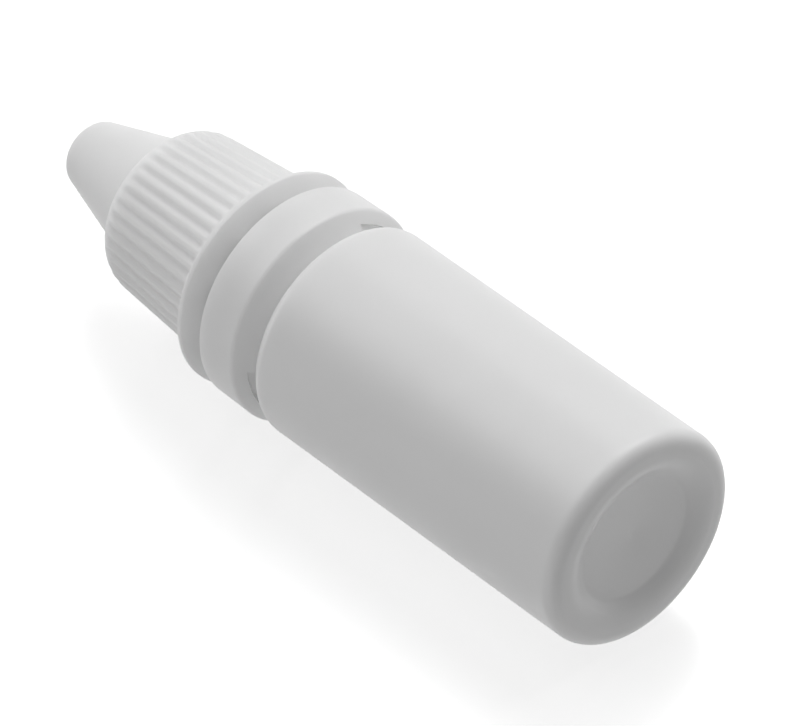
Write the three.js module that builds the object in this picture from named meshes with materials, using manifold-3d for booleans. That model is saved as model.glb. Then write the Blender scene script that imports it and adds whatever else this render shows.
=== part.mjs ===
// Squeeze dropper bottle: a moulded bottle with a threaded neck, a pressed-in dropper insert,
// a fluted screw cap with a hollow pointed top, and a tamper ring held under a bead on the neck.
// Millimetres, +Z up along the bottle's axis, origin at the middle of the base.
import * as THREE from "three";
import { mergeVertices } from "three/addons/utils/BufferGeometryUtils.js";
import Module from "manifold-3d";

// Bottle body
const bodyDiameter = 22;
const bodyHeight = 40.6;
const bodyWall = 1.1;
const baseEdgeRadius = 1.3;
const shoulderEdgeRadius = 1.4;
const shoulderRise = 0.6;
const chamberEdgeRadius = 1;
const restRimWidth = 1.6;
const recessDepth = 1;
const recessRise = 0.4;
const recessWallLean = 1.7;

// Neck finish
const neckDiameter = 11.6;
const neckBoreDiameter = 8.6;
const neckRimChamfer = 0.3;
const ledgeWidth = 1.2;
const ledgeHeight = 1.6;
const beadHeight = 1.4;
const beadLand = 0.5;
const beadRamp = 0.9;

// Screw thread, round in section and right-handed
const threadPitch = 3;
const threadTurns = 1.75;
const threadHeight = 0.7;
const threadSectionRadius = 0.62;
const threadFadeTurns = 0.15;
const threadStartRise = 3.7;
const neckLip = 4;
const capThreadTurns = 1.5;
const capThreadHeight = 0.75;
const capThreadSectionRadius = 0.55;

// Tamper ring
const ringHeight = 4.6;
const ringWall = 0.95;
const ringProud = 0.1;
const ringFlare = 0.1;
const ringEdgeRadius = 0.5;
const ringTaperDrop = 1.8;
const ringTaperAngle = 50;
const ringTaperFoot = 0.9;
const lipThickness = 1.2;
const lipCatch = 0.55;
const pocketCount = 2;
const pocketFirstAngle = 3.5;
const pocketAngle = 63;
const pocketInset = 0.95;
const pocketDepth = 0.3;
const bridgeCount = 12;
const bridgeFirstAngle = 252.5;
const bridgeWidth = 2;
const bridgeDepth = 0.7;
const bridgeStep = 0.3;
const bridgeFootHeight = 1.2;
const bridgeFootDrop = 0.3;
const bridgeSpan = 0.9;

// Dropper insert
const plugLength = 8;
const plugWall = 1;
const plugLeadChamfer = 0.4;
const insertFlangeThickness = 1;
const insertFlangeSetback = 0.2;
const nozzleHeight = 11.5;
const nozzleRootRadius = 3.9;
const nozzleTipRadius = 1.9;
const nozzleTipRound = 0.6;
const dropChannelRadius = 0.8;

// Cap
const capFootWall = 2.6;
const capHeadWall = 1.81;
const capMouthFlare = 0.55;
const capMouthDepth = 1.4;
const skirtStep = 0.05;
const flangeProud = 0.12;
const flangeRise = 1.65;
const flangeThickness = 0.6;
const flareHeight = 2.2;
const flareSag = 0.35;
const roofThickness = 3.1;
const capShoulderRadius = 3.2;
const coneWallRoot = 1.4;
const coneWallTip = 1.2;
const tipWall = 1.4;
const tipEdgeRadius = 1.6;
const sealPinRadius = 0.45;
const sealPinReach = 0.8;

// Flutes round the cap's wall
const fluteCount = 40;
const fluteFirstAngle = 1.5;
const fluteDepth = 0.3;
const fluteSectionRadius = 0.5;
const fluteFootDrop = 0.9;
const fluteHeadMargin = 1.6;

// Clearances
const runningGap = 0.3;
const threadClearance = 0.35;
const pressGap = 0.1;
const sealClearance = 0.3;
const coneClearanceRoot = 1;
const coneClearanceTip = 0.45;
const tipClearance = 1.3;

// Mesh fineness
const turnSegments = 48;
const insertSegments = 32;
const arcSteps = 4;
const threadStepsPerTurn = 20;
const threadSides = 8;
const fluteSides = 6;
const fluteEndSteps = 2;
const mergeTolerance = 1e-4;
const cutMargin = 1;

// Heights above the base, from the bottom up
const neckFootZ = bodyHeight + shoulderRise;
const ledgeTopZ = neckFootZ + ledgeHeight;
const ringBottomZ = ledgeTopZ + runningGap;
const ringFootZ = ringBottomZ - ringTaperDrop;
const ringTopZ = ringBottomZ + ringHeight;
const lipTopZ = ringBottomZ + lipThickness;
const beadBottomZ = lipTopZ + runningGap;
const capBottomZ = ringTopZ + bridgeSpan;
const bridgeTopZ = capBottomZ - runningGap;
const threadStartZ = capBottomZ + threadStartRise;
const threadRise = threadTurns * threadPitch;
const neckTopZ = threadStartZ + threadRise + neckLip;
const plugBottomZ = neckTopZ - plugLength;
const insertFlangeZ = neckTopZ + pressGap;
const nozzleRootZ = insertFlangeZ + insertFlangeThickness;
const nozzleTipZ = nozzleRootZ + nozzleHeight;
const capRoofZ = nozzleRootZ + sealClearance;
const capShoulderZ = capRoofZ + roofThickness;
const coneInnerTipZ = nozzleTipZ + tipClearance;
const capTipZ = coneInnerTipZ + tipWall;
const flangeBottomZ = capBottomZ + flangeRise;
const flangeTopZ = flangeBottomZ + flangeThickness;
const wallFootZ = flangeTopZ + flareHeight;
const wallHeadZ = capShoulderZ - capShoulderRadius;

// Radii, from the neck outwards
const bodyRadius = bodyDiameter / 2;
const chamberRadius = bodyRadius - bodyWall;
const neckRadius = neckDiameter / 2;
const boreRadius = neckBoreDiameter / 2;
const ledgeRadius = neckRadius + ledgeWidth;
const beadRadius = neckRadius + beadHeight;
const threadCrestRadius = neckRadius + threadHeight;
const capBoreRadius = threadCrestRadius + threadClearance;
const capFootRadius = capBoreRadius + capFootWall;
const capHeadRadius = capBoreRadius + capHeadWall;
const skirtRadius = capFootRadius - skirtStep;
const flangeRadius = bodyRadius + flangeProud;
const ringTopRadius = bodyRadius + ringProud;
const ringBottomRadius = ringTopRadius + ringFlare;
const ringInnerRadius = ringTopRadius - ringWall;
const taperFootRadius = ringBottomRadius - ringTaperDrop * Math.tan(THREE.MathUtils.degToRad(ringTaperAngle));
const taperInnerRadius = taperFootRadius - ringTaperFoot;
const lipRadius = beadRadius - lipCatch;
const bridgeOuterRadius = skirtRadius + bridgeStep;
const plugRadius = boreRadius - pressGap;
const insertFlangeRadius = neckRadius - insertFlangeSetback;
const coneInnerRootRadius = nozzleRootRadius + coneClearanceRoot;
const coneInnerTipRadius = nozzleTipRadius + coneClearanceTip;
const coneRootRadius = coneInnerRootRadius + coneWallRoot;
const coneTipRadius = coneInnerTipRadius + coneWallTip;

const fullTurn = Math.PI * 2;
const wasm = await Module();
wasm.setup();

// Points of a circular arc in a profile, from one angle to another in degrees.
function arc(centreRadius, centreZ, radius, fromDegrees, toDegrees) {
  const points = [];
  for (let step = 0; step <= arcSteps; step += 1) {
    const degrees = fromDegrees + ((toDegrees - fromDegrees) * step) / arcSteps;
    const angle = THREE.MathUtils.degToRad(degrees);
    const pointRadius = centreRadius + radius * Math.cos(angle);
    const pointZ = centreZ + radius * Math.sin(angle);
    points.push(new THREE.Vector2(pointRadius, pointZ));
  }
  return points;
}

// One profile point: a distance from the axis and a height.
function at(radius, z) {
  return new THREE.Vector2(radius, z);
}

// A profile turned round the Z axis.
function turned(profile, segments) {
  const geometry = new THREE.LatheGeometry(profile, segments);
  geometry.rotateX(Math.PI / 2);
  return geometry;
}

// A closed geometry as a solid that can be joined and cut.
function solid(geometry) {
  const bare = geometry.index ? geometry.toNonIndexed() : geometry.clone();
  bare.deleteAttribute("normal");
  bare.deleteAttribute("uv");
  const merged = mergeVertices(bare, mergeTolerance);
  const corners = merged.index.array;
  const triangles = [];
  for (let i = 0; i < corners.length; i += 3) {
    const [a, b, c] = corners.slice(i, i + 3);
    const flat = a === b || b === c || c === a;
    if (!flat) {
      triangles.push(a, b, c);
    }
  }
  const mesh = new wasm.Mesh({
    numProp: 3,
    vertProperties: merged.attributes.position.array,
    triVerts: new Uint32Array(triangles),
  });
  return new wasm.Manifold(mesh);
}

// A solid as a geometry for a mesh.
function geometryOf(made) {
  const mesh = made.getMesh();
  const geometry = new THREE.BufferGeometry();
  geometry.setAttribute("position", new THREE.BufferAttribute(mesh.vertProperties, 3));
  geometry.setIndex(new THREE.BufferAttribute(mesh.triVerts, 1));
  geometry.computeVertexNormals();
  return geometry;
}

// The right-handed helix that the middle of a thread follows, sinking into its wall at both ends.
class ThreadCurve extends THREE.Curve {
  constructor(radius, sunkRadius, startZ, turns) {
    super();
    this.radius = radius;
    this.sunkRadius = sunkRadius;
    this.startZ = startZ;
    this.turns = turns;
  }

  getPoint(share, target = new THREE.Vector3()) {
    const turn = share * this.turns;
    const angle = turn * fullTurn;
    const fromEnd = Math.min(turn, this.turns - turn);
    const rise = Math.min(1, fromEnd / threadFadeTurns);
    const radius = THREE.MathUtils.lerp(this.sunkRadius, this.radius, rise);
    const x = radius * Math.cos(angle);
    const y = radius * Math.sin(angle);
    return target.set(x, y, this.startZ + turn * threadPitch);
  }
}

// A round ridge along a helix.
function threadRidge(centreRadius, sunkRadius, startZ, turns, sectionRadius) {
  const section = new THREE.Shape();
  for (let side = 0; side < threadSides; side += 1) {
    const angle = (side * fullTurn) / threadSides;
    const corner = at(sectionRadius * Math.cos(angle), sectionRadius * Math.sin(angle));
    if (side === 0) {
      section.moveTo(corner.x, corner.y);
    } else {
      section.lineTo(corner.x, corner.y);
    }
  }
  section.closePath();
  const geometry = new THREE.ExtrudeGeometry(section, {
    steps: Math.round(turns * threadStepsPerTurn),
    extrudePath: new ThreadCurve(centreRadius, sunkRadius, startZ, turns),
    bevelEnabled: false,
  });
  return solid(geometry);
}

// Bottle: recessed base, straight body, round shoulder, ledge, bead, thread and bore, open at the neck.
function bottleGeometry() {
  const rimOuterRadius = bodyRadius - baseEdgeRadius;
  const recessRadius = rimOuterRadius - restRimWidth;
  const chamberFloorZ = recessDepth + bodyWall;
  const chamberTopZ = bodyHeight - bodyWall;
  const profile = [
    at(0, recessDepth + recessRise),
    at(recessRadius - recessWallLean, recessDepth),
    at(recessRadius, 0),
    ...arc(rimOuterRadius, baseEdgeRadius, baseEdgeRadius, -90, 0),
    ...arc(bodyRadius - shoulderEdgeRadius, bodyHeight - shoulderEdgeRadius, shoulderEdgeRadius, 0, 90),
    at(ledgeRadius, neckFootZ),
    at(ledgeRadius, ledgeTopZ),
    at(neckRadius, ledgeTopZ),
    at(neckRadius, beadBottomZ),
    at(beadRadius, beadBottomZ),
    at(beadRadius, beadBottomZ + beadLand),
    at(neckRadius, beadBottomZ + beadLand + beadRamp),
    at(neckRadius, neckTopZ - neckRimChamfer),
    at(neckRadius - neckRimChamfer, neckTopZ),
    at(boreRadius, neckTopZ),
    at(boreRadius, chamberTopZ + shoulderRise),
    ...arc(chamberRadius - chamberEdgeRadius, chamberTopZ - chamberEdgeRadius, chamberEdgeRadius, 90, 0),
    ...arc(chamberRadius - chamberEdgeRadius, chamberFloorZ + chamberEdgeRadius, chamberEdgeRadius, 0, -90),
    at(0, chamberFloorZ + recessRise),
  ];
  const ridgeRadius = threadCrestRadius - threadSectionRadius;
  const sunkRadius = ridgeRadius - threadHeight;
  const ridge = threadRidge(ridgeRadius, sunkRadius, threadStartZ, threadTurns, threadSectionRadius);
  const vessel = solid(turned(profile, turnSegments));
  return geometryOf(vessel.add(ridge));
}

// Dropper insert: a hollow plug in the bore, a flange on the neck's rim and a pointed nozzle.
function dropperInsertGeometry() {
  const plugBoreRadius = plugRadius - plugWall;
  const funnelTopZ = nozzleRootZ + plugBoreRadius - dropChannelRadius;
  const tipShoulderZ = nozzleTipZ - nozzleTipRound;
  const tipFaceRadius = nozzleTipRadius - nozzleTipRound;
  const profile = [
    at(plugBoreRadius, plugBottomZ),
    at(plugRadius - plugLeadChamfer, plugBottomZ),
    at(plugRadius, plugBottomZ + plugLeadChamfer),
    at(plugRadius, insertFlangeZ),
    at(insertFlangeRadius, insertFlangeZ),
    at(insertFlangeRadius, nozzleRootZ),
    at(nozzleRootRadius, nozzleRootZ),
    ...arc(tipFaceRadius, tipShoulderZ, nozzleTipRound, 0, 90),
    at(dropChannelRadius, nozzleTipZ),
    at(dropChannelRadius, funnelTopZ),
    at(plugBoreRadius, nozzleRootZ),
    at(plugBoreRadius, plugBottomZ),
  ];
  return geometryOf(solid(turned(profile, insertSegments)));
}

// Tamper ring: an outer wall, a tapered foot with two pockets, a retaining lip and the stubs of its bridges.
function tamperRingGeometry() {
  const edgeRise = ringEdgeRadius * Math.tan(THREE.MathUtils.degToRad(ringTaperAngle / 2));
  const profile = [
    at(lipRadius, ringBottomZ),
    at(taperInnerRadius, ringBottomZ),
    at(taperInnerRadius, ringFootZ),
    at(taperFootRadius, ringFootZ),
    ...arc(ringBottomRadius - ringEdgeRadius, ringBottomZ + edgeRise, ringEdgeRadius, -ringTaperAngle, 0),
    at(ringTopRadius, ringTopZ),
    at(ringInnerRadius, ringTopZ),
    at(ringInnerRadius, lipTopZ),
    at(lipRadius, lipTopZ),
    at(lipRadius, ringBottomZ),
  ];
  let ring = solid(turned(profile, turnSegments));
  for (let copy = 0; copy < pocketCount; copy += 1) {
    ring = ring.subtract(footPocket(pocketFirstAngle + (copy * 360) / pocketCount));
  }
  for (let copy = 0; copy < bridgeCount; copy += 1) {
    ring = ring.add(bridgeStub(bridgeFirstAngle + (copy * 360) / bridgeCount));
  }
  return geometryOf(ring);
}

// A shallow pocket that follows the tapered foot, open at its lower end, centred on an angle in degrees.
function footPocket(degrees) {
  const slope = THREE.MathUtils.degToRad(ringTaperAngle);
  const along = new THREE.Vector2(-Math.sin(slope), -Math.cos(slope));
  const outward = new THREE.Vector2(Math.cos(slope), -Math.sin(slope));
  const upper = at(ringBottomRadius, ringBottomZ).addScaledVector(along, pocketInset / Math.cos(slope));
  const reach = ringTaperDrop + cutMargin;
  const corner = (run, rise) => upper.clone().addScaledVector(along, run).addScaledVector(outward, rise);
  const band = solid(turned([
    corner(0, -pocketDepth),
    corner(reach, -pocketDepth),
    corner(reach, cutMargin),
    corner(0, cutMargin),
    corner(0, -pocketDepth),
  ], turnSegments));
  const half = THREE.MathUtils.degToRad(pocketAngle / 2);
  const sector = new THREE.Shape();
  sector.moveTo(0, 0);
  sector.absarc(0, 0, ringBottomRadius + cutMargin, -half, half, false);
  sector.closePath();
  const geometry = new THREE.ExtrudeGeometry(sector, {
    depth: ringTaperDrop + reach,
    curveSegments: arcSteps + arcSteps,
    bevelEnabled: false,
  });
  geometry.translate(0, 0, ringFootZ - reach);
  geometry.rotateZ(THREE.MathUtils.degToRad(degrees));
  return band.intersect(solid(geometry));
}

// One snapped bridge: a foot out of the ring's wall and a post that ends just under the cap.
function bridgeStub(degrees) {
  const footTopZ = ringTopZ - bridgeFootDrop;
  const footBottomZ = footTopZ - bridgeFootHeight;
  const innerRadius = bridgeOuterRadius - bridgeDepth;
  const rootRadius = ringInnerRadius + ringWall / 2;
  const outline = new THREE.Shape();
  outline.moveTo(innerRadius, footBottomZ);
  outline.lineTo(rootRadius, footBottomZ);
  outline.lineTo(rootRadius, footTopZ);
  outline.lineTo(bridgeOuterRadius, footTopZ);
  outline.lineTo(bridgeOuterRadius, bridgeTopZ);
  outline.lineTo(innerRadius, bridgeTopZ);
  outline.closePath();
  const geometry = new THREE.ExtrudeGeometry(outline, { depth: bridgeWidth, bevelEnabled: false });
  geometry.translate(0, 0, -bridgeWidth / 2);
  geometry.rotateX(Math.PI / 2);
  geometry.rotateZ(THREE.MathUtils.degToRad(degrees));
  return solid(geometry);
}

// Cap: threaded bore, flared flange, tapered fluted wall, round shoulder, hollow cone and sealing pin.
function capGeometry() {
  const flangeEdgeRadius = flangeThickness / 2;
  const flangeEdgeZ = flangeBottomZ + flangeEdgeRadius;
  const flangeEdgeCentre = flangeRadius - flangeEdgeRadius;
  const flareControl = at(capFootRadius + flareSag, flangeTopZ + flareSag);
  const flareStart = at(flangeEdgeCentre, flangeTopZ);
  const flare = new THREE.QuadraticBezierCurve(flareStart, flareControl, at(capFootRadius, wallFootZ));
  const shoulderCentre = capHeadRadius - capShoulderRadius;
  const shoulderEndCosine = (coneRootRadius - shoulderCentre) / capShoulderRadius;
  const shoulderEndDegrees = THREE.MathUtils.radToDeg(Math.acos(Math.min(1, shoulderEndCosine)));
  const coneLean = Math.atan2(coneRootRadius - coneTipRadius, capTipZ - tipEdgeRadius - capShoulderZ);
  const coneLeanDegrees = THREE.MathUtils.radToDeg(coneLean);
  const pinBottomZ = nozzleTipZ - sealPinReach;
  const profile = [
    at(0, pinBottomZ),
    at(sealPinRadius, pinBottomZ),
    at(sealPinRadius, coneInnerTipZ),
    at(coneInnerTipRadius, coneInnerTipZ),
    at(coneInnerRootRadius, capRoofZ),
    at(capBoreRadius, capRoofZ),
    at(capBoreRadius, capBottomZ + capMouthDepth),
    at(capBoreRadius + capMouthFlare, capBottomZ),
    at(skirtRadius, capBottomZ),
    ...arc(flangeEdgeCentre, flangeEdgeZ, flangeEdgeRadius, -90, 90),
    ...flare.getPoints(arcSteps).slice(1),
    ...arc(shoulderCentre, wallHeadZ, capShoulderRadius, 0, shoulderEndDegrees),
    ...arc(coneTipRadius - tipEdgeRadius, capTipZ - tipEdgeRadius, tipEdgeRadius, coneLeanDegrees, 90),
    at(0, capTipZ),
  ];
  const ridgeRadius = capBoreRadius - capThreadHeight + capThreadSectionRadius;
  const ridgeStartZ = threadStartZ - threadPitch / 2;
  const sunkRadius = ridgeRadius + capThreadHeight;
  const ridge = threadRidge(ridgeRadius, sunkRadius, ridgeStartZ, capThreadTurns, capThreadSectionRadius);
  let cap = solid(turned(profile, turnSegments)).add(ridge);
  for (let copy = 0; copy < fluteCount; copy += 1) {
    cap = cap.subtract(fluteCutter(fluteFirstAngle + (copy * 360) / fluteCount));
  }
  return geometryOf(cap);
}

// A round-ended rod that cuts one flute along the leaning wall of the cap.
function fluteCutter(degrees) {
  const rise = wallHeadZ - wallFootZ;
  const lean = Math.atan2(capFootRadius - capHeadRadius, rise);
  const footZ = wallFootZ - fluteFootDrop;
  const headZ = wallHeadZ + fluteHeadMargin;
  const middleZ = (footZ + headZ) / 2;
  const wallRadius = capFootRadius - (middleZ - wallFootZ) * Math.tan(lean);
  const rodRadius = wallRadius + fluteSectionRadius - fluteDepth;
  const straight = headZ - footZ - 2 * fluteSectionRadius;
  const rod = new THREE.CapsuleGeometry(fluteSectionRadius, straight, fluteEndSteps, fluteSides);
  rod.rotateX(Math.PI / 2);
  rod.rotateY(-lean);
  rod.translate(rodRadius, 0, middleZ);
  rod.rotateZ(THREE.MathUtils.degToRad(degrees));
  return solid(rod);
}

const whiteBottle = new THREE.MeshStandardMaterial({ color: 0xe6e6e6, roughness: 0.45, metalness: 0 });
const whiteCap = new THREE.MeshStandardMaterial({ color: 0xe9e9e9, roughness: 0.5, metalness: 0 });
const whiteRing = new THREE.MeshStandardMaterial({ color: 0xe8e8e8, roughness: 0.48, metalness: 0 });
const naturalInsert = new THREE.MeshStandardMaterial({ color: 0xdfe2e2, roughness: 0.4, metalness: 0 });

const pieces = [
  ["bottle", bottleGeometry(), whiteBottle],
  ["dropper_insert", dropperInsertGeometry(), naturalInsert],
  ["tamper_ring", tamperRingGeometry(), whiteRing],
  ["cap", capGeometry(), whiteCap],
];

const dropperBottle = new THREE.Group();
for (const [name, geometry, material] of pieces) {
  const mesh = new THREE.Mesh(geometry, material);
  mesh.name = name;
  dropperBottle.add(mesh);
}

export default dropperBottle;
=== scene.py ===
"""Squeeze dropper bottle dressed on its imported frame: bottle, dropper insert, tamper ring and screw cap."""
import math

import bmesh
import bpy
from mathutils import Matrix, Vector


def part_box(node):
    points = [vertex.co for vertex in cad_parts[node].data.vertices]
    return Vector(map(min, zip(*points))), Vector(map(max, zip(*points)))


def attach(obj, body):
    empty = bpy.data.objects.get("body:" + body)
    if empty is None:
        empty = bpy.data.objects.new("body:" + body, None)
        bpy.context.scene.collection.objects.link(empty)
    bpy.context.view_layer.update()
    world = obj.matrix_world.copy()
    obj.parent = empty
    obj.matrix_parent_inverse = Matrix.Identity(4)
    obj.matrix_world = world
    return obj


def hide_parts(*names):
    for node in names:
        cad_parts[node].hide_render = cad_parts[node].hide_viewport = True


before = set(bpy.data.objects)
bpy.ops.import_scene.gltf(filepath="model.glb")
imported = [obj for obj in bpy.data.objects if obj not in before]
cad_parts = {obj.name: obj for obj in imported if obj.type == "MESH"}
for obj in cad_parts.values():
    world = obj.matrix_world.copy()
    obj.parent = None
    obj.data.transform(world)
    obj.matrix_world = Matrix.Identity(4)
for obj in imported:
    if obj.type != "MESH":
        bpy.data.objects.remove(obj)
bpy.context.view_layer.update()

bl_info = {
    "name": "Squeeze Dropper Bottle",
    "version": (1, 0, 0),
    "blender": (4, 5, 0),
    "location": "View3D > Sidebar > Dropper Bottle",
    "description": "Models a squeeze dropper bottle with its insert, tamper ring and fluted screw cap",
    "category": "Add Mesh",
}

BOTTLE_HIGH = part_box("bottle")[1]
INSERT_LOW, INSERT_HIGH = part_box("dropper_insert")
RING_LOW, RING_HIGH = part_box("tamper_ring")
CAP_LOW, CAP_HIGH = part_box("cap")

MM = 0.001
SEED_SIZE = 0.5 * MM
SUPPORT = 0.12 * MM
MERGE = 0.0005 * MM
SAME_PLACE = 0.002 * MM
ARC_STEP = math.radians(9)
SMOOTH_ANGLE = math.radians(32)


def length(name, description, default):
    """A length property, given in metres."""
    return bpy.props.FloatProperty(
        name=name, description=description, default=default, min=0, precision=5, unit="LENGTH"
    )


def angle(name, description, degrees):
    """An angle property, given in degrees."""
    return bpy.props.FloatProperty(
        name=name, description=description, default=math.radians(degrees), subtype="ANGLE"
    )


def number(name, description, default):
    """A plain number property."""
    return bpy.props.FloatProperty(name=name, description=description, default=default)


def colour(name, description, default):
    """A linear colour property."""
    return bpy.props.FloatVectorProperty(
        name=name, description=description, default=default, size=3, min=0, max=1, subtype="COLOR"
    )


class BottleSizes(bpy.types.PropertyGroup):
    """Sizes of the moulded bottle."""

    radius: length("Body radius", "Outer radius of the straight body", BOTTLE_HIGH.x)
    body_height: length("Body height", "Height of the body's top edge", RING_LOW.z - 0.7 * MM)
    base_edge: length("Base edge", "Rounding between the base and the wall", 1.4 * MM)
    shoulder_edge: length("Shoulder edge", "Rounding between the wall and the shoulder", 1.4 * MM)
    shoulder_rise: length("Shoulder rise", "Rise of the shoulder up to the ledge", 0.6 * MM)
    wall: length("Wall", "Thickness of the body's wall", 1.1 * MM)
    rim_inner: length("Rest rim radius", "Inner radius of the rim that the bottle stands on", 8.1 * MM)
    recess_floor: length("Recess radius", "Radius of the floor of the base's recess", 6.4 * MM)
    recess_depth: length("Recess depth", "Depth of the recess at the edge of its floor", 1 * MM)
    recess_rise: length("Recess rise", "How much deeper the recess is in the middle", 0.4 * MM)
    ledge_radius: length("Ledge radius", "Radius of the ledge at the foot of the neck", 7 * MM)
    ledge_height: length("Ledge height", "Height of the ledge at the foot of the neck", 1.6 * MM)
    bead_radius: length("Bead radius", "Radius of the bead that holds the ring down", 7.2 * MM)
    bead_rise: length("Bead rise", "Height of the bead's underside over the ledge", 1.8 * MM)
    bead_rim: length("Bead rim", "Height of the bead's upright rim", 0.5 * MM)
    bead_height: length("Bead height", "Height of the bead with its sloping top", 1.4 * MM)
    neck_radius: length("Neck radius", "Outer radius of the neck between its threads", 5.8 * MM)
    bore_radius: length("Bore radius", "Radius of the hole through the neck", 4.3 * MM)
    bore_drop: length("Bore drop", "How far the hole reaches below the body's top edge", 0.5 * MM)
    neck_top: length("Neck top", "Height of the neck's rim", BOTTLE_HIGH.z)
    steps: bpy.props.IntProperty(name="Steps", description="Faces round the bottle", default=240)


class InsertSizes(bpy.types.PropertyGroup):
    """Sizes of the dropper insert."""

    plug_radius: length("Plug radius", "Outer radius of the plug in the neck", 4.2 * MM)
    plug_bore: length("Plug bore", "Radius of the hollow in the plug", 3.2 * MM)
    flange_radius: length("Flange radius", "Radius of the flange on the neck's rim", INSERT_HIGH.x)
    flange_low: length("Flange underside", "Height of the flange's underside", BOTTLE_HIGH.z + 0.1 * MM)
    flange_high: length("Flange top", "Height of the flange's top", BOTTLE_HIGH.z + 1.1 * MM)
    nozzle_root: length("Nozzle root", "Radius of the nozzle at the flange", 3.9 * MM)
    nozzle_tip: length("Nozzle tip", "Radius of the nozzle at its tip", 1.9 * MM)
    channel: length("Channel", "Radius of the channel that the drops leave by", 0.8 * MM)
    steps: bpy.props.IntProperty(name="Steps", description="Faces round the insert", default=128)


class RingSizes(bpy.types.PropertyGroup):
    """Sizes of the tamper ring."""

    top_radius: length("Top radius", "Outer radius of the ring's upper edge", 11.1 * MM)
    low_radius: length("Low radius", "Outer radius of the wall's lower edge", RING_HIGH.x)
    low_edge: length("Low edge", "Rounding between the wall and the tapered foot", 0.5 * MM)
    taper: length("Taper", "Height of the tapered foot", 1.8 * MM)
    taper_angle: angle("Taper angle", "How far the tapered foot leans from the axis", 50)
    taper_foot: length("Taper foot", "Width of the lower face of the tapered foot", 0.9 * MM)
    wall: length("Wall", "Thickness of the ring's wall", 0.95 * MM)
    top: length("Top", "Height of the ring's upper edge", RING_LOW.z + 6.4 * MM)
    lip_radius: length("Lip radius", "Inner radius of the retaining lip", 6.65 * MM)
    lip_thickness: length("Lip thickness", "Thickness of the retaining lip", 1.2 * MM)
    pocket_inset: length("Pocket inset", "How far the pockets start below the wall", 0.95 * MM)
    pocket_depth: length("Pocket depth", "Depth of the pockets in the foot", 0.3 * MM)
    pocket_angle: angle("Pocket angle", "How much of the foot each pocket takes", 63)
    pocket_first: angle("First pocket", "Where the middle of the first pocket is", 3.5)
    bridge_count: bpy.props.IntProperty(name="Bridges", description="Snapped bridges", default=12)
    bridge_first: angle("First bridge", "Where the first bridge is", 252.5)
    bridge_width: length("Bridge width", "Width of each snapped bridge", 2 * MM)
    bridge_depth: length("Bridge depth", "Thickness of each bridge's post", 0.7 * MM)
    bridge_radius: length("Bridge radius", "Outer radius of the bridges' posts", 9.7 * MM)
    bridge_low: length("Bridge low", "How far the bridges' feet reach below the ring's top", 1.5 * MM)
    bridge_high: length("Bridge high", "How far the top of their feet is below the ring's top", 0.3 * MM)
    steps: bpy.props.IntProperty(name="Steps", description="Faces round the ring", default=240)


class CapSizes(bpy.types.PropertyGroup):
    """Sizes of the screw cap."""

    flange: length("Flange", "Height of the flange's underside", CAP_LOW.z + 1.65 * MM)
    flange_radius: length("Flange radius", "Radius of the flange's rim", CAP_HIGH.x)
    rim_low: length("Rim low", "Height of the rim's lower edge over the flange", 0.08 * MM)
    rim_high: length("Rim high", "Height of the rim's upper edge over the flange", 0.6 * MM)
    flare: length("Flare", "Height over the flange where its upper face meets the wall", 0.75 * MM)
    skirt_radius: length("Skirt radius", "Radius of the skirt's lower edge", 9.4 * MM)
    bore_radius: length("Bore radius", "Radius of the threaded bore", 6.85 * MM)
    lead_in: length("Lead-in", "How much the bore widens at its mouth", 0.55 * MM)
    lead_in_height: length("Lead-in height", "Height of the bore's widened mouth", 1.4 * MM)
    roof: length("Roof", "Height of the bore's roof over the flange", 12.7 * MM)
    foot_radius: length("Wall foot", "Radius of the fluted wall above the flange", 9.45 * MM)
    foot_rise: length("Foot rise", "Height over the flange where the wall has its foot radius", 2.8 * MM)
    head_radius: length("Wall head", "Radius of the fluted wall under the shoulder", 8.66 * MM)
    head_rise: length("Head rise", "Height over the flange where the wall has its head radius", 12.6 * MM)
    shoulder: length("Shoulder", "Height of the shoulder's corner over the flange", 15.11 * MM)
    shoulder_round: length("Shoulder rounding", "Rounding of the shoulder", 2.9 * MM)
    cone_root: length("Cone root", "Radius of the cone at the shoulder", 6.28 * MM)
    cone_rise: length("Cone rise", "Height of the cone's root over the flange", 15.7 * MM)
    cone_tip: length("Cone tip", "Radius of the cone at its top corner", 3.16 * MM)
    tip_round: length("Tip rounding", "Rounding of the cone's tip", 1.6 * MM)
    tip_dome: length("Tip dome", "How much the tip rises in the middle", 0.08 * MM)
    tip_wall: length("Tip wall", "Thickness of the plastic over the hollow of the cone", 1.4 * MM)
    hollow_root: length("Hollow root", "Radius of the cone's hollow at the bore's roof", 4.9 * MM)
    hollow_tip: length("Hollow tip", "Radius of the cone's hollow at its top", 2.35 * MM)
    pin_radius: length("Pin radius", "Radius of the pin that closes the nozzle", 0.45 * MM)
    pin_reach: length("Pin reach", "How far the pin reaches into the nozzle", 0.8 * MM)
    flute_count: bpy.props.IntProperty(name="Flutes", description="Flutes round the cap", default=40)
    flute_depth: length("Flute depth", "Depth of each flute", 0.3 * MM)
    flute_half: length("Flute half width", "Half the width of each flute", 0.66 * MM)
    flute_first: angle("First flute", "Where the first flute is", 1.5)
    flute_low: length("Flute low", "Height of the flutes' lower ends over the flange", 1.55 * MM)
    flute_high: length("Flute high", "Height of the flutes' upper ends over the flange", 14.4 * MM)
    flute_fade: length("Flute fade", "Length over which the flutes' upper ends fade out", 1.2 * MM)
    steps: bpy.props.IntProperty(name="Steps per flute", description="Faces for each flute", default=12)


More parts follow.
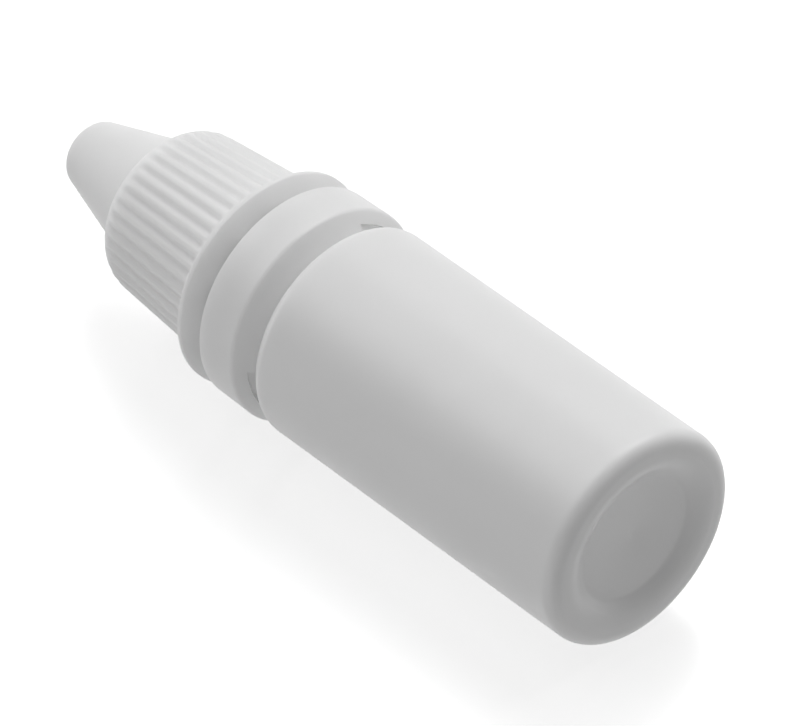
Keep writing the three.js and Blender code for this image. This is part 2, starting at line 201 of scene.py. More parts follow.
class ThreadSizes(bpy.types.PropertyGroup):
    """Sizes of the screw thread."""

    pitch: length("Pitch", "Rise of the thread in one turn", 3 * MM)
    start: length("Start", "Height where the bottle's thread begins", CAP_LOW.z + 3.7 * MM)
    neck_turns: number("Neck turns", "Turns of the ridge on the neck", 1.75)
    cap_turns: number("Cap turns", "Turns of the ridge in the cap", 1.5)
    neck_section: length("Neck ridge", "Radius of the neck ridge's section", 0.62 * MM)
    neck_crest: length("Neck crest", "Radius of the neck ridge's crest", 6.5 * MM)
    cap_section: length("Cap ridge", "Radius of the cap ridge's section", 0.55 * MM)
    cap_crest: length("Cap crest", "Radius of the cap ridge's crest", 6.1 * MM)
    sink: length("Sink", "How far a ridge's ends sink into its wall", 0.75 * MM)


class FinishSettings(bpy.types.PropertyGroup):
    """Colours of the plastics."""

    bottle: colour("Bottle", "Colour of the bottle's plastic", (0.87, 0.87, 0.87))
    insert: colour("Insert", "Colour of the insert's plastic", (0.8, 0.82, 0.82))
    ring: colour("Ring", "Colour of the ring's plastic", (0.88, 0.88, 0.88))
    cap: colour("Cap", "Colour of the cap's plastic", (0.88, 0.88, 0.88))


class StageSettings(bpy.types.PropertyGroup):
    """The camera, the floor that the bottle lies on and the light."""

    lens: number("Lens", "Focal length in mm", 352.9)
    floor_size: length("Floor size", "Side of the square floor", 6.0)
    floor_colour: colour("Floor", "Colour of the floor", (0.9, 0.9, 0.9))
    floor_shade: colour("Floor shade", "How much of the lamps' light the floor shows", (0.2, 0.2, 0.2))
    floor_mirror: colour("Floor mirror", "How strong the floor's mirror image is", (0.25, 0.25, 0.25))
    floor_blur: number("Floor blur", "Roughness of the floor's mirror image", 0.3)
    floor_glow: number("Floor glow", "Strength of the floor's own white", 0.7)
    room_light: number("Room light", "Strength of the white room's light on the bottle", 0.26)
    lamp_size: length("Lamp size", "Side of each square lamp", 0.7)
    lamp_distance: length("Lamp distance", "Distance from the bottle to each lamp", 1.0)
    lamp_aim: length("Lamp aim", "Height on the bottle that the lamps point to", 38 * MM)


class DropperBottleSettings(bpy.types.PropertyGroup):
    """All settings of the dropper bottle."""

    bottle: bpy.props.PointerProperty(type=BottleSizes)
    insert: bpy.props.PointerProperty(type=InsertSizes)
    ring: bpy.props.PointerProperty(type=RingSizes)
    cap: bpy.props.PointerProperty(type=CapSizes)
    thread: bpy.props.PointerProperty(type=ThreadSizes)
    finish: bpy.props.PointerProperty(type=FinishSettings)
    stage: bpy.props.PointerProperty(type=StageSettings)


def select_nothing():
    """Leaves edit mode and deselects every object."""
    if bpy.context.mode != "OBJECT":
        bpy.ops.object.mode_set(mode="OBJECT")
    bpy.ops.object.select_all(action="DESELECT")


def pick(piece):
    """Makes one piece the only selected object."""
    select_nothing()
    piece.select_set(True)
    bpy.context.view_layer.objects.active = piece


def select_points(piece, test):
    """Selects the vertices whose place passes a test, in edit mode."""
    mesh = bmesh.from_edit_mesh(piece.data)
    for vertex in mesh.verts:
        vertex.select_set(test(vertex.co))
    mesh.select_flush_mode()
    bmesh.update_edit_mesh(piece.data)


def named(piece, name):
    """Names an object and its mesh."""
    piece.name = name
    piece.data.name = name
    return piece


def draw_to(here, there):
    """Extrudes the selected vertex from here to there."""
    bpy.ops.mesh.extrude_vertices_move(TRANSFORM_OT_translate={"value": there - here})
    return there


def trim_of(places, index, closed, rounding):
    """How far a rounding cuts back the two edges at a corner, and how far the outline turns there."""
    last = len(places) - 1
    if rounding == 0 or (not closed and index in (0, last)):
        return 0, 0
    before = places[index] - places[index - 1]
    after = places[(index + 1) % len(places)] - places[index]
    turn = before.angle(after)
    return rounding * math.tan(turn / 2), turn


def outline(name, corners, closed=False):
    """Draws an outline of (radius, height, rounding) corners and rounds them by vertex bevels."""
    places = [Vector((radius, 0, height)) for radius, height, rounding in corners]
    trims = [trim_of(places, i, closed, corner[2]) for i, corner in enumerate(corners)]
    select_nothing()
    bpy.ops.mesh.primitive_plane_add(size=SEED_SIZE, location=places[0])
    piece = named(bpy.context.object, name)
    bpy.ops.object.transform_apply(location=True, rotation=True, scale=True)
    bpy.ops.object.mode_set(mode="EDIT")
    bpy.ops.mesh.select_mode(type="VERT")
    bpy.ops.mesh.select_all(action="SELECT")
    bpy.ops.mesh.merge(type="CENTER")
    here = places[0]
    count = len(places)
    for index in range(count if closed else count - 1):
        follows = (index + 1) % count
        start, end = places[index], places[follows]
        way = (end - start).normalized()
        near = start + way * (trims[index][0] + SUPPORT)
        far = end - way * (trims[follows][0] + SUPPORT)
        if (far - near).dot(way) > SUPPORT:
            here = draw_to(here, near)
            here = draw_to(here, far)
        here = draw_to(here, end)
    bpy.ops.mesh.select_all(action="SELECT")
    bpy.ops.mesh.remove_doubles(threshold=MERGE)
    for place, (trim, turn) in zip(places, trims):
        if trim:
            select_points(piece, lambda co: (co - place).length < SAME_PLACE)
            segments = max(2, round(turn / ARC_STEP))
            bpy.ops.mesh.bevel(offset=trim, segments=segments, affect="VERTICES", clamp_overlap=False)
    return piece


def turn_round(piece, steps):
    """Spins an outline into a closed solid about the bottle's axis."""
    bpy.ops.mesh.select_all(action="SELECT")
    bpy.ops.mesh.spin(steps=steps, angle=math.tau, center=(0, 0, 0), axis=(0, 0, 1))
    bpy.ops.mesh.select_all(action="SELECT")
    bpy.ops.mesh.remove_doubles(threshold=MERGE)
    bpy.ops.mesh.normals_make_consistent(inside=False)
    bpy.ops.object.mode_set(mode="OBJECT")


def combine(piece, tool, operation):
    """Joins a tool shape to a piece, or cuts the piece with it, and removes the tool."""
    change = piece.modifiers.new("combine", "BOOLEAN")
    change.operation = operation
    change.solver = "MANIFOLD"
    change.object = tool
    pick(piece)
    bpy.ops.object.modifier_apply(modifier=change.name)
    bpy.data.meshes.remove(tool.data)


def turn_about_axis(radians):
    """Turns what is selected in edit mode about the bottle's axis, anticlockwise seen from above."""
    bpy.ops.transform.rotate(value=-radians, orient_axis="Z", center_override=(0, 0, 0))


def thread_ridge(name, radius, sunk_radius, start, turns, section, pitch):
    """A round ridge along a right-hand helix whose two ends sink into their wall."""
    sides = 16
    per_turn = 48
    fade = 0.15
    select_nothing()
    bpy.ops.mesh.primitive_circle_add(
        vertices=sides,
        radius=section,
        fill_type="NGON",
        location=(sunk_radius, 0, start),
        rotation=(math.pi / 2, 0, 0),
    )
    ridge = named(bpy.context.object, name)
    bpy.ops.object.transform_apply(location=True, rotation=True, scale=True)
    bpy.ops.object.mode_set(mode="EDIT")
    bpy.ops.mesh.select_all(action="SELECT")
    steps = round(turns * per_turn)
    here = sunk_radius
    for step in range(1, steps + 1):
        turn = step * turns / steps
        rise = min(1, turn / fade, (turns - turn) / fade)
        there = sunk_radius + (radius - sunk_radius) * rise
        at = turn * math.tau
        bpy.ops.mesh.extrude_region_move()
        turn_about_axis(math.tau * turns / steps)
        outwards = Vector((math.cos(at), math.sin(at), 0)) * (there - here)
        bpy.ops.transform.translate(value=outwards + Vector((0, 0, pitch * turns / steps)))
        here = there
    bpy.ops.mesh.select_all(action="SELECT")
    bpy.ops.mesh.normals_make_consistent(inside=False)
    bpy.ops.object.mode_set(mode="OBJECT")
    return ridge


def dress(piece, material, body, node):
    """Smooths a piece, gives it its plastic and puts it in place of its CAD node."""
    pick(piece)
    bpy.ops.object.shade_smooth_by_angle(angle=SMOOTH_ANGLE)
    piece.data.materials.clear()
    piece.data.materials.append(material)
    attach(piece, body)
    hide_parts(node)


def plastic_group():
    """Shared look of moulded plastic: slow tone changes, fine grain and handling haze."""
    name = "moulded plastic"
    if name in bpy.data.node_groups:
        return bpy.data.node_groups[name]
    group = bpy.data.node_groups.new(name, "ShaderNodeTree")
    sockets = group.interface
    for socket, kind, value in (
        ("Plastic", "NodeSocketColor", (0.8, 0.8, 0.8, 1)),
        ("Tone", "NodeSocketFloat", 0.03),
        ("Dullness", "NodeSocketFloat", 0.45),
    ):
        made = sockets.new_socket(socket, in_out="INPUT", socket_type=kind)
        made.default_value = value
    for socket, kind in (
        ("Color", "NodeSocketColor"),
        ("Roughness", "NodeSocketFloat"),
        ("Height", "NodeSocketFloat"),
    ):
        sockets.new_socket(socket, in_out="OUTPUT", socket_type=kind)
    nodes, links = group.nodes, group.links
    given = nodes.new("NodeGroupInput")
    result = nodes.new("NodeGroupOutput")
    place = nodes.new("ShaderNodeTexCoord")

    slow = nodes.new("ShaderNodeTexNoise")
    slow.inputs["Scale"].default_value = 110
    slow.inputs["Detail"].default_value = 2
    links.new(place.outputs["Object"], slow.inputs["Vector"])
    centred = nodes.new("ShaderNodeMath")
    centred.operation = "SUBTRACT"
    centred.inputs[1].default_value = 0.5
    links.new(slow.outputs["Fac"], centred.inputs[0])
    spread = nodes.new("ShaderNodeMath")
    spread.operation = "MULTIPLY_ADD"
    spread.inputs[2].default_value = 1
    links.new(centred.outputs[0], spread.inputs[0])
    links.new(given.outputs["Tone"], spread.inputs[1])
    tinted = nodes.new("ShaderNodeVectorMath")
    tinted.operation = "SCALE"
    links.new(given.outputs["Plastic"], tinted.inputs[0])
    links.new(spread.outputs[0], tinted.inputs["Scale"])
    links.new(tinted.outputs["Vector"], result.inputs["Color"])

    grain = nodes.new("ShaderNodeTexNoise")
    grain.inputs["Scale"].default_value = 2400
    grain.inputs["Detail"].default_value = 3
    links.new(place.outputs["Object"], grain.inputs["Vector"])
    links.new(grain.outputs["Fac"], result.inputs["Height"])

    haze = nodes.new("ShaderNodeTexNoise")
    haze.inputs["Scale"].default_value = 320
    haze.inputs["Detail"].default_value = 5
    links.new(place.outputs["Object"], haze.inputs["Vector"])
    rubbed = nodes.new("ShaderNodeMath")
    rubbed.operation = "SUBTRACT"
    rubbed.inputs[1].default_value = 0.5
    links.new(haze.outputs["Fac"], rubbed.inputs[0])
    rough = nodes.new("ShaderNodeMath")
    rough.operation = "MULTIPLY_ADD"
    rough.inputs[1].default_value = 0.18
    links.new(rubbed.outputs[0], rough.inputs[0])
    links.new(given.outputs["Dullness"], rough.inputs[2])
    links.new(rough.outputs[0], result.inputs["Roughness"])
    return group


def plastic(name, base, tone, dullness, relief, glow_depth):
    """A moulded plastic of one colour that light soaks into."""
    material = bpy.data.materials.new(name)
    material.use_nodes = True
    nodes, links = material.node_tree.nodes, material.node_tree.links
    shader = nodes["Principled BSDF"]
    shader.inputs["Subsurface Weight"].default_value = 1
    shader.inputs["Subsurface Radius"].default_value = (1, 1, 1)
    shader.inputs["Subsurface Scale"].default_value = glow_depth
    look = nodes.new("ShaderNodeGroup")
    look.node_tree = plastic_group()
    look.inputs["Plastic"].default_value = (*base, 1)
    look.inputs["Tone"].default_value = tone
    look.inputs["Dullness"].default_value = dullness
    bump = nodes.new("ShaderNodeBump")
    bump.inputs["Strength"].default_value = 0.25
    bump.inputs["Distance"].default_value = relief
    links.new(look.outputs["Color"], shader.inputs["Base Color"])
    links.new(look.outputs["Roughness"], shader.inputs["Roughness"])
    links.new(look.outputs["Height"], bump.inputs["Height"])
    links.new(bump.outputs["Normal"], shader.inputs["Normal"])
    return material


class DROPPER_OT_make_bottle(bpy.types.Operator):
    """Model the bottle: recessed base, body, shoulder, ledge, bead and threaded neck"""

    bl_idname = "dropper.make_bottle"
    bl_label = "Make Bottle"

    def execute(self, context):
        settings = context.scene.dropper_bottle
        size, thread = settings.bottle, settings.thread
        inside = size.radius - size.wall
        floor = size.recess_depth + size.wall
        neck_foot = size.body_height + size.shoulder_rise
        ledge_top = neck_foot + size.ledge_height
        bead_low = ledge_top + size.bead_rise
        bottle = outline("bottle_moulding", [
            (0, size.recess_depth + size.recess_rise, 0),
            (size.recess_floor, size.recess_depth, 0.8 * MM),
            (size.rim_inner, 0, 2.4 * MM),
            (size.radius, 0, size.base_edge),
            (size.radius, size.body_height, size.shoulder_edge),
            (size.ledge_radius, neck_foot, 0.3 * MM),
            (size.ledge_radius, ledge_top, 0.2 * MM),
            (size.neck_radius, ledge_top, 0.2 * MM),
            (size.neck_radius, bead_low, 0.15 * MM),
            (size.bead_radius, bead_low, 0.15 * MM),
            (size.bead_radius, bead_low + size.bead_rim, 0.3 * MM),
            (size.neck_radius, bead_low + size.bead_height, 0.4 * MM),
            (size.neck_radius, size.neck_top, 0.3 * MM),
            (size.bore_radius, size.neck_top, 0.2 * MM),
            (size.bore_radius, size.body_height - size.bore_drop, 0.6 * MM),
            (inside, size.body_height - size.wall, 1 * MM),
            (inside, floor, 1 * MM),
            (0, floor + size.recess_rise, 0),
        ])
        turn_round(bottle, size.steps)
        ridge_radius = thread.neck_crest - thread.neck_section
        ridge = thread_ridge(
            "neck_thread", ridge_radius, ridge_radius - thread.sink,
            thread.start, thread.neck_turns, thread.neck_section, thread.pitch,
        )
        combine(bottle, ridge, "UNION")
        material = plastic(
            "bottle plastic", settings.finish.bottle,
            tone=0.035, dullness=0.34, relief=0.02 * MM, glow_depth=1 * MM,
        )
        dress(bottle, material, "bottle", "bottle")
        return {"FINISHED"}


class DROPPER_OT_make_insert(bpy.types.Operator):
    """Model the dropper insert: plug, flange and nozzle round one channel"""

    bl_idname = "dropper.make_insert"
    bl_label = "Make Dropper Insert"

    def execute(self, context):
        settings = context.scene.dropper_bottle
        size = settings.insert
        bottom, tip = INSERT_LOW.z, INSERT_HIGH.z
        funnel = size.flange_high + size.plug_bore - size.channel
        insert = outline("dropper_nozzle", [
            (size.plug_bore, bottom, 0.15 * MM),
            (size.plug_radius, bottom, 0.4 * MM),
            (size.plug_radius, size.flange_low, 0.08 * MM),
            (size.flange_radius, size.flange_low, 0.2 * MM),
            (size.flange_radius, size.flange_high, 0.25 * MM),
            (size.nozzle_root, size.flange_high, 0.4 * MM),
            (size.nozzle_tip, tip, 0.6 * MM),
            (size.channel, tip, 0.2 * MM),
            (size.channel, funnel, 0.4 * MM),
            (size.plug_bore, size.flange_high, 0.4 * MM),
        ], closed=True)
        turn_round(insert, size.steps)
        material = plastic(
            "insert plastic", settings.finish.insert,
            tone=0.03, dullness=0.32, relief=0.015 * MM, glow_depth=1.2 * MM,
        )
        dress(insert, material, "bottle", "dropper_insert")
        return {"FINISHED"}


def foot_pockets(size, lip_low):
    """Two shallow sectors that follow the ring's tapered foot and cut its pockets, at its two sides."""
    lean = size.taper_angle
    along = Vector((-math.sin(lean), 0, -math.cos(lean)))
    outward = Vector((math.cos(lean), 0, -math.sin(lean)))
    proud = 0.6 * MM
    run = 3 * MM
    steps = 32
    upper = Vector((size.low_radius, 0, lip_low)) + along * size.pocket_inset / math.cos(lean)
    middle = upper + along * run / 2 + outward * (proud - size.pocket_depth) / 2
    select_nothing()
    bpy.ops.mesh.primitive_plane_add(size=1, rotation=(math.pi / 2, 0, 0))
    pockets = named(bpy.context.object, "foot_pockets")
    bpy.ops.object.transform_apply(location=False, rotation=True, scale=False)
    pockets.scale = (proud + size.pocket_depth, 1, run)
    bpy.ops.object.transform_apply(location=False, rotation=False, scale=True)
    pockets.rotation_euler = (0, lean, 0)
    pockets.location = middle
    bpy.ops.object.transform_apply(location=True, rotation=True, scale=True)
    bpy.ops.object.mode_set(mode="EDIT")
    bpy.ops.mesh.select_all(action="SELECT")
    turn_about_axis(size.pocket_first + size.pocket_angle / 2)
    bpy.ops.mesh.spin(steps=steps, angle=size.pocket_angle, center=(0, 0, 0), axis=(0, 0, 1))
    bpy.ops.mesh.select_all(action="SELECT")
    bpy.ops.mesh.normals_make_consistent(inside=False)
    bpy.ops.mesh.spin(steps=2, dupli=True, angle=math.tau, center=(0, 0, 0), axis=(0, 0, 1))
    bpy.ops.mesh.select_all(action="SELECT")
    bpy.ops.mesh.remove_doubles(threshold=MERGE)
    bpy.ops.object.mode_set(mode="OBJECT")
    return pockets


def bridge_stubs(size, top):
    """The snapped bridges: a foot out of the ring's wall and a post that ends under the cap."""
    depth, outer = size.bridge_depth, size.bridge_radius
    low, foot_high = size.top - size.bridge_low, size.top - size.bridge_high
    root = size.top_radius - size.wall / 2
    post_taper, post_edge = 0.86, 0.12 * MM
    select_nothing()
    bpy.ops.mesh.primitive_cube_add(size=1)
    stubs = named(bpy.context.object, "bridge_stubs")
    stubs.scale = (depth, size.bridge_width, foot_high - low)
    stubs.location = (outer - depth / 2, 0, (foot_high + low) / 2)
    bpy.ops.object.transform_apply(location=True, rotation=True, scale=True)
    bpy.ops.object.mode_set(mode="EDIT")
    bpy.ops.mesh.select_mode(type="VERT")
    select_points(stubs, lambda co: co.x > outer - SAME_PLACE)
    bpy.ops.mesh.extrude_region_move(TRANSFORM_OT_translate={"value": (root - outer, 0, 0)})
    select_points(stubs, lambda co: co.z > foot_high - SAME_PLACE and co.x < outer + SAME_PLACE)
    bpy.ops.mesh.extrude_region_move(TRANSFORM_OT_translate={"value": (0, 0, top - foot_high)})
    bpy.ops.transform.resize(value=(1, post_taper, 1), center_override=(outer, 0, top))
    select_points(stubs, lambda co: co.z > top - SAME_PLACE)
    bpy.ops.mesh.bevel(offset=post_edge, segments=3, affect="EDGES")
    bpy.ops.mesh.select_all(action="SELECT")
    bpy.ops.mesh.normals_make_consistent(inside=False)
    turn_about_axis(size.bridge_first)
    bpy.ops.mesh.spin(
        steps=size.bridge_count, dupli=True, angle=math.tau, center=(0, 0, 0), axis=(0, 0, 1)
    )
    bpy.ops.mesh.select_all(action="SELECT")
    bpy.ops.mesh.remove_doubles(threshold=MERGE)
    bpy.ops.object.mode_set(mode="OBJECT")
    return stubs


class DROPPER_OT_make_ring(bpy.types.Operator):
    """Model the tamper ring: wall, pocketed foot, retaining lip and snapped bridges"""

    bl_idname = "dropper.make_ring"
    bl_label = "Make Tamper Ring"

    def execute(self, context):
        settings = context.scene.dropper_bottle
        size = settings.ring
        foot = RING_LOW.z
        lip_low = foot + size.taper
        lip_top = lip_low + size.lip_thickness
        inside = size.top_radius - size.wall
        foot_outer = size.low_radius - size.taper * math.tan(size.taper_angle)
        foot_inner = foot_outer - size.taper_foot
        ring = outline("tamper_band", [
            (size.lip_radius, lip_low, 0.25 * MM),
            (foot_inner, lip_low, 0.3 * MM),
            (foot_inner, foot, 0.25 * MM),
            (foot_outer, foot, 0.3 * MM),
            (size.low_radius, lip_low, size.low_edge),
            (size.top_radius, size.top, 0.12 * MM),
            (inside, size.top, 0.12 * MM),
            (inside, lip_top, 0.3 * MM),
            (size.lip_radius, lip_top, 0.25 * MM),
        ], closed=True)
        turn_round(ring, size.steps)
        combine(ring, foot_pockets(size, lip_low), "DIFFERENCE")
        combine(ring, bridge_stubs(size, RING_HIGH.z), "UNION")
        material = plastic(
            "ring plastic", settings.finish.ring,
            tone=0.03, dullness=0.36, relief=0.02 * MM, glow_depth=1.4 * MM,
        )
        dress(ring, material, "tamper_ring", "tamper_ring")
        return {"FINISHED"}


def flute_weight(size, co):
    """How deep the flutes are at a place on the cap's wall, from 0 to 1."""
    low, high = size.flange + size.flute_low, size.flange + size.flute_high
    bore_margin, fade_margin = 0.5 * MM, 0.2 * MM
    radius = math.hypot(co.x, co.y)
    if radius < size.bore_radius + bore_margin:
        return 0
    pitch = math.tau / size.flute_count
    turn = (math.atan2(co.y, co.x) - size.flute_first) % pitch
    across = min(turn, pitch - turn) * radius
    beyond = max(low + size.flute_half - co.z, co.z - high + size.flute_half, 0)
    share = math.hypot(across, beyond) / size.flute_half
    if share >= 1:
        return 0
    fade = min(1, max(0, (high + fade_margin - co.z) / size.flute_fade))
    return 0.5 * (1 + math.cos(math.pi * share)) * fade


class DROPPER_OT_make_cap(bpy.types.Operator):
    """Model the cap: threaded bore, flange, fluted wall, shoulder, hollow cone and sealing pin"""

    bl_idname = "dropper.make_cap"
    bl_label = "Make Cap"

    def execute(self, context):
        settings = context.scene.dropper_bottle
        size, thread = settings.cap, settings.thread
        bottom, tip = CAP_LOW.z, CAP_HIGH.z
        flange = size.flange
        flare, shoulder, roof = flange + size.flare, flange + size.shoulder, flange + size.roof
        lean = (size.foot_radius - size.head_radius) / (size.head_rise - size.foot_rise)
        pin_foot = INSERT_HIGH.z - size.pin_reach
        # Rows of vertices close together, which carry the round lower ends of the flutes.
        first_row, row_step, row_count = 1.85, 0.12, 5
        flute_feet = [flange + (first_row + row_step * row) * MM for row in range(row_count)]

        def wall(z):
            return size.foot_radius - lean * (z - flange - size.foot_rise)

        cap = outline("screw_cap", [
            (0, pin_foot, 0),
            (size.pin_radius, pin_foot, 0.15 * MM),
            (size.pin_radius, tip - size.tip_wall, 0.2 * MM),
            (size.hollow_tip, tip - size.tip_wall, 0.4 * MM),
            (size.hollow_root, roof, 0.3 * MM),
            (size.bore_radius, roof, 0.3 * MM),
            (size.bore_radius, bottom + size.lead_in_height, 0.3 * MM),
            (size.bore_radius + size.lead_in, bottom, 0.12 * MM),
            (size.skirt_radius, bottom, 0.15 * MM),
            (size.flange_radius, flange + size.rim_low, 0.22 * MM),
            (size.flange_radius, flange + size.rim_high, 0.22 * MM),
            (wall(flare), flare, 1.1 * MM),
            *((wall(z), z, 0) for z in flute_feet),
            (wall(shoulder), shoulder, size.shoulder_round),
            (size.cone_root, flange + size.cone_rise, 0.5 * MM),
            (size.cone_tip, tip - size.tip_dome, size.tip_round),
            (0, tip, 0),
        ])
        turn_round(cap, size.flute_count * size.steps)
        flutes = cap.vertex_groups.new(name="flutes")
        for vertex in cap.data.vertices:
            weight = flute_weight(size, vertex.co)
            if weight > 0:
                flutes.add([vertex.index], weight, "REPLACE")
        press = cap.modifiers.new("flutes", "DISPLACE")
        press.strength = -size.flute_depth
        press.mid_level = 0
        press.vertex_group = flutes.name
        pick(cap)
        bpy.ops.object.modifier_apply(modifier=press.name)
        cap.vertex_groups.clear()
        ridge_radius = thread.cap_crest + thread.cap_section
        ridge = thread_ridge(
            "cap_thread", ridge_radius, ridge_radius + thread.sink,
            thread.start - thread.pitch / 2, thread.cap_turns, thread.cap_section, thread.pitch,
        )
        combine(cap, ridge, "UNION")
        material = plastic(
            "cap plastic", settings.finish.cap,
            tone=0.03, dullness=0.38, relief=0.02 * MM, glow_depth=1.8 * MM,
        )
        dress(cap, material, "cap", "cap")
        return {"FINISHED"}


CAMERA_RIGHT = Vector((0.5793, 0.4693, -0.6665))
CAMERA_UP = Vector((0.8151, -0.3335, 0.4736))
CAMERA_AHEAD = Vector((0, 0.8176, 0.5758))
CAMERA_PLACE = Vector((0.31, -579.9, -375.0)) * MM
FLOOR_UP = Vector((0.632, -0.775, 0))
LAMPS = (
    ("back right lamp", 60, 60, 4.35),
    ("left lamp", 60, 180, 2.25),
    ("low right lamp", 5, 30, 1.25),
    ("low left lamp", 5, 150, 1.45),
    ("table front lamp", -35, 240, 1.05),
    ("table right lamp", -60, 0, 0.8),
)


def lamp(settings, name, height, side, power):
    """A square lamp, by its angle over the floor and its angle round from the camera's right."""
    ahead = (CAMERA_AHEAD - FLOOR_UP * CAMERA_AHEAD.dot(FLOOR_UP)).normalized()
    height, side = math.radians(height), math.radians(side)
    along = CAMERA_RIGHT * math.cos(side) + ahead * math.sin(side)
    away = FLOOR_UP * math.sin(height) + along * math.cos(height)
    data = bpy.data.lights.new(name, "AREA")
    data.shape = "SQUARE"
    data.size = settings.lamp_size
    data.energy = power
    made = bpy.data.objects.new(name, data)
    bpy.context.scene.collection.objects.link(made)
    made.location = Vector((0, 0, settings.lamp_aim)) + away * settings.lamp_distance
    made.rotation_euler = away.to_track_quat("Z", "Y").to_euler()
    made.visible_camera = False


def floor_material(settings):
    """White floor: full white to the camera, with a soft shadow and a faint mirror image."""
    material = bpy.data.materials.new("white floor")
    material.use_nodes = True
    nodes, links = material.node_tree.nodes, material.node_tree.links
    nodes.clear()
    output = nodes.new("ShaderNodeOutputMaterial")
    path = nodes.new("ShaderNodeLightPath")
    geometry = nodes.new("ShaderNodeNewGeometry")
    bounce = nodes.new("ShaderNodeBsdfDiffuse")
    bounce.inputs["Color"].default_value = (*settings.floor_colour, 1)
    shade = nodes.new("ShaderNodeBsdfDiffuse")
    shade.inputs["Color"].default_value = (*settings.floor_shade, 1)
    mirror = nodes.new("ShaderNodeBsdfGlossy")
    mirror.inputs["Color"].default_value = (*settings.floor_mirror, 1)
    mirror.inputs["Roughness"].default_value = settings.floor_blur
    glow = nodes.new("ShaderNodeEmission")
    glow.inputs["Strength"].default_value = settings.floor_glow
    first = nodes.new("ShaderNodeAddShader")
    second = nodes.new("ShaderNodeAddShader")
    links.new(shade.outputs[0], first.inputs[0])
    links.new(mirror.outputs[0], first.inputs[1])
    links.new(first.outputs[0], second.inputs[0])
    links.new(glow.outputs[0], second.inputs[1])
    seen = nodes.new("ShaderNodeMath")
    seen.operation = "MAXIMUM"
    links.new(path.outputs["Is Camera Ray"], seen.inputs[0])
    links.new(path.outputs["Is Glossy Ray"], seen.inputs[1])
    facing = nodes.new("ShaderNodeMixShader")
    links.new(seen.outputs[0], facing.inputs[0])
    links.new(bounce.outputs[0], facing.inputs[1])
    links.new(second.outputs[0], facing.inputs[2])
    clear = nodes.new("ShaderNodeBsdfTransparent")
    whole = nodes.new("ShaderNodeMixShader")
    links.new(geometry.outputs["Backfacing"], whole.inputs[0])
    links.new(facing.outputs[0], whole.inputs[1])
    links.new(clear.outputs[0], whole.inputs[2])
    links.new(whole.outputs[0], output.inputs["Surface"])
    return material


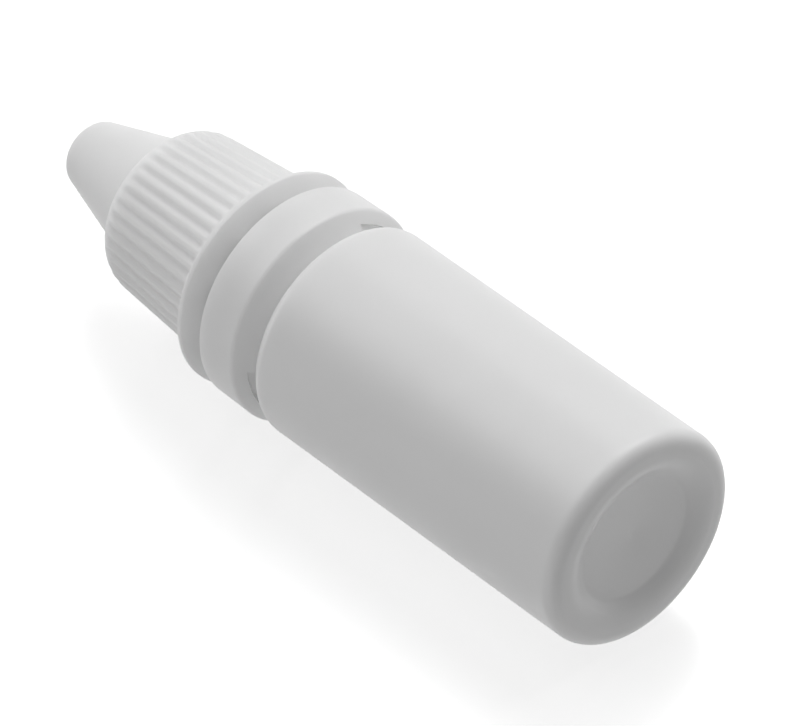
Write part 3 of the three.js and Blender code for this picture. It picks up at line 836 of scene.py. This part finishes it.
class DROPPER_OT_set_stage(bpy.types.Operator):
    """Set the camera, the white floor along the bottle's side and the soft light"""

    bl_idname = "dropper.set_stage"
    bl_label = "Set Stage"

    def execute(self, context):
        scene = context.scene
        settings = scene.dropper_bottle.stage
        scene.view_settings.view_transform = "Standard"

        camera_data = bpy.data.cameras.new("photo camera")
        camera_data.sensor_width = 36
        camera_data.lens = settings.lens
        camera_data.clip_start = 0.01
        camera_data.clip_end = 50
        camera = bpy.data.objects.new("photo camera", camera_data)
        scene.collection.objects.link(camera)
        turn = Matrix((CAMERA_RIGHT, CAMERA_UP, -CAMERA_AHEAD)).transposed()
        camera.matrix_world = Matrix.Translation(CAMERA_PLACE) @ turn.to_4x4()
        scene.camera = camera

        select_nothing()
        bpy.ops.mesh.primitive_plane_add(size=settings.floor_size)
        floor = named(context.object, "floor")
        floor.location = -FLOOR_UP * RING_HIGH.x
        floor.rotation_euler = FLOOR_UP.to_track_quat("Z", "Y").to_euler()
        floor.data.materials.append(floor_material(settings))
        floor.visible_diffuse = False
        floor.visible_shadow = False

        world = bpy.data.worlds.new("white room")
        scene.world = world
        world.use_nodes = True
        nodes, links = world.node_tree.nodes, world.node_tree.links
        path = nodes.new("ShaderNodeLightPath")
        place = nodes.new("ShaderNodeTexCoord")
        behind = nodes.new("ShaderNodeVectorMath")
        behind.operation = "DOT_PRODUCT"
        behind.inputs[1].default_value = CAMERA_AHEAD.reflect(FLOOR_UP)
        links.new(place.outputs["Generated"], behind.inputs[0])
        ramp = nodes.new("ShaderNodeMapRange")
        ramp.inputs["From Min"].default_value = 0.1
        ramp.inputs["From Max"].default_value = 0.9
        links.new(behind.outputs["Value"], ramp.inputs["Value"])
        mirrored = nodes.new("ShaderNodeMath")
        mirrored.operation = "MULTIPLY"
        links.new(ramp.outputs["Result"], mirrored.inputs[0])
        links.new(path.outputs["Is Glossy Ray"], mirrored.inputs[1])
        seen = nodes.new("ShaderNodeMath")
        seen.operation = "MAXIMUM"
        links.new(path.outputs["Is Camera Ray"], seen.inputs[0])
        links.new(mirrored.outputs[0], seen.inputs[1])
        strength = nodes.new("ShaderNodeMapRange")
        strength.inputs["To Min"].default_value = settings.room_light
        strength.inputs["To Max"].default_value = 1
        links.new(seen.outputs[0], strength.inputs["Value"])
        backdrop = nodes["Background"]
        backdrop.inputs["Color"].default_value = (1, 1, 1, 1)
        links.new(strength.outputs["Result"], backdrop.inputs["Strength"])

        for name, height, side, power in LAMPS:
            lamp(settings, name, height, side, power)
        return {"FINISHED"}


class DROPPER_PT_panel(bpy.types.Panel):
    """Lists the makers of the dropper bottle's pieces"""

    bl_label = "Dropper Bottle"
    bl_idname = "DROPPER_PT_panel"
    bl_space_type = "VIEW_3D"
    bl_region_type = "UI"
    bl_category = "Dropper Bottle"

    def draw(self, context):
        for maker in MAKERS:
            self.layout.operator(maker.bl_idname)
        settings = context.scene.dropper_bottle
        for part in ("bottle", "insert", "ring", "cap", "thread", "finish", "stage"):
            box = self.layout.box()
            box.label(text=part.capitalize())
            group = getattr(settings, part)
            for name in group.__annotations__:
                box.prop(group, name)


MAKERS = (
    DROPPER_OT_make_bottle,
    DROPPER_OT_make_insert,
    DROPPER_OT_make_ring,
    DROPPER_OT_make_cap,
    DROPPER_OT_set_stage,
)
CLASSES = (
    BottleSizes,
    InsertSizes,
    RingSizes,
    CapSizes,
    ThreadSizes,
    FinishSettings,
    StageSettings,
    DropperBottleSettings,
    *MAKERS,
    DROPPER_PT_panel,
)


def register():
    """Registers the classes and the scene's settings."""
    for cls in CLASSES:
        bpy.utils.register_class(cls)
    bpy.types.Scene.dropper_bottle = bpy.props.PointerProperty(type=DropperBottleSettings)


def unregister():
    """Removes what register added."""
    del bpy.types.Scene.dropper_bottle
    for cls in reversed(CLASSES):
        bpy.utils.unregister_class(cls)


def main():
    """Makes every piece and the stage."""
    register()
    bpy.ops.dropper.make_bottle()
    bpy.ops.dropper.make_insert()
    bpy.ops.dropper.make_ring()
    bpy.ops.dropper.make_cap()
    bpy.ops.dropper.set_stage()
    bpy.context.view_layer.update()


if __name__ == "__main__":
    main()
